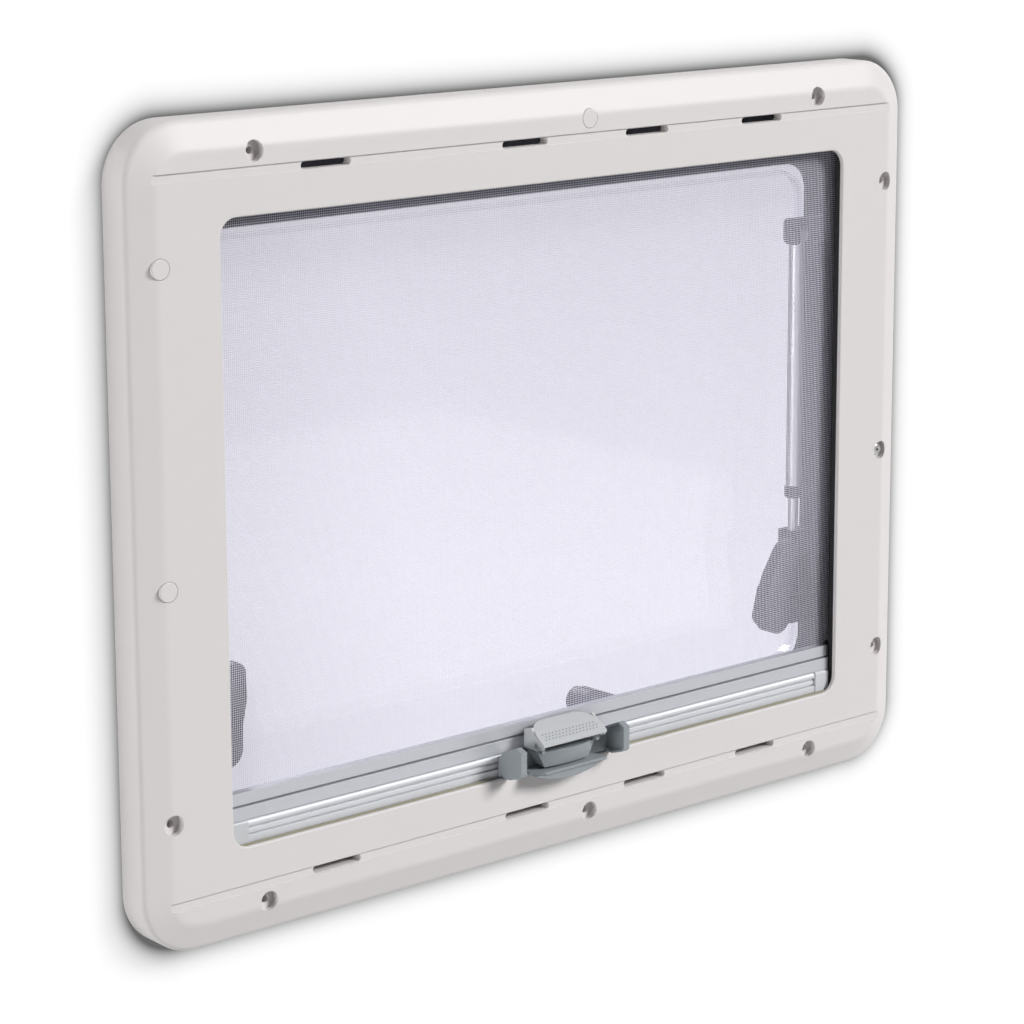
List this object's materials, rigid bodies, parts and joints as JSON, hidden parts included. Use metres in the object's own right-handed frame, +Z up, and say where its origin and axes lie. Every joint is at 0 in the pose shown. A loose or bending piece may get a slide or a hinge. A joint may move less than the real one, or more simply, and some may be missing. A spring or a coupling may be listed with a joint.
{
  "type": "caravan window",
  "caption": "Top-hung caravan window: moulded inner frame with flyscreen and blind bars, dark outer frame, double acrylic pane, side stays and turn catches.",
  "frame": {"origin": "on the wall plane, in the middle of the lower bearing band of the inner frame's flange, half way along the window", "axes": "+Y out of the vehicle through the wall, +Z up, +X to the right seen from the room"},
  "size_m": [0.728, 0.1, 0.578],
  "materials": {
    "frame_plastic": "satin moulded, fine grain",
    "outer_plastic": "dark moulded, fine grain",
    "seal_rubber": "matt rubber",
    "hinge_metal": "dark anodised extrusion",
    "acrylic": "clear acrylic sheet",
    "mesh_cloth": "fine woven screen cloth",
    "bar_metal": "satin anodised extrusion",
    "roller_cloth": "wound cloth",
    "guide_plastic": "black moulded",
    "cap_plastic": "light grey moulded",
    "handle_plastic": "mid grey moulded",
    "grip_plastic": "light grey moulded, dotted grip",
    "stay_metal": "bright drawn tube",
    "stay_plastic": "dark grey moulded",
    "catch_plastic": "dark grey moulded",
    "striker_metal": "dark coated pressing",
    "screw_steel": "bright screw"
  },
  "bodies": {
    "window": {"inner_frame": "frame_plastic", "screw_caps": "frame_plastic", "outer_frame_rails": "outer_plastic", "outer_frame_stiles": "outer_plastic", "outer_flange": "outer_plastic", "seal_rim": "outer_plastic", "outer_seal": "seal_rubber", "hinge_rail": "hinge_metal", "sash_hinge_strip": "hinge_metal", "pane_inner": "acrylic", "pane_outer": "acrylic", "flyscreen_mesh": "mesh_cloth", "flyscreen_bar": "bar_metal", "blind_bar": "bar_metal", "flyscreen_roller": "roller_cloth", "blind_roller": "roller_cloth", "side_guide_left": "guide_plastic", "side_guide_right": "guide_plastic", "flyscreen_bar_end_left": "guide_plastic", "flyscreen_bar_end_right": "guide_plastic", "blind_bar_cap_left": "cap_plastic", "blind_bar_cap_right": "cap_plastic", "screen_handle_body": "handle_plastic", "blind_catch": "handle_plastic", "stay_tube_left": "stay_metal", "stay_tube_right": "stay_metal", "stay_rod_left": "stay_metal", "stay_rod_right": "stay_metal", "stay_bracket_left": "stay_plastic", "stay_bracket_right": "stay_plastic", "stay_collar_left": "stay_plastic", "stay_collar_right": "stay_plastic", "stay_foot_left": "stay_plastic", "stay_foot_right": "stay_plastic", "catch_base_left": "catch_plastic", "catch_base_right": "catch_plastic", "catch_base_bottom": "catch_plastic", "catch_striker_left": "striker_metal", "catch_striker_right": "striker_metal", "catch_striker_bottom": "striker_metal", "frame_screw": "screw_steel"},
    "catch_lever_left": {"catch_lever_left": "catch_plastic"},
    "catch_lever_right": {"catch_lever_right": "catch_plastic"},
    "catch_lever_bottom": {"catch_lever_bottom": "catch_plastic"},
    "handle_flap": {"screen_handle_flap": "grip_plastic"}
  },
  "joints": [
    {"name": "catch_turn_left", "type": "hinge", "parent": "window", "child": "catch_lever_left", "pos_m": [-0.269, 0.01375, 0.1195], "axis": [0, 1, 0], "range_deg": [0, 90]},
    {"name": "catch_turn_right", "type": "hinge", "parent": "window", "child": "catch_lever_right", "pos_m": [0.269, 0.01375, 0.1195], "axis": [0, -1, 0], "range_deg": [0, 90]},
    {"name": "catch_turn_bottom", "type": "hinge", "parent": "window", "child": "catch_lever_bottom", "pos_m": [0.07, 0.01375, 0.0865], "axis": [0, -1, 0], "range_deg": [0, 90]},
    {"name": "handle_press", "type": "hinge", "parent": "window", "child": "handle_flap", "pos_m": [0, -0.044, 0.0865], "axis": [1, 0, 0], "range_deg": [0, 12], "stiffness_Nm_per_rad": 0.2}
  ]
}
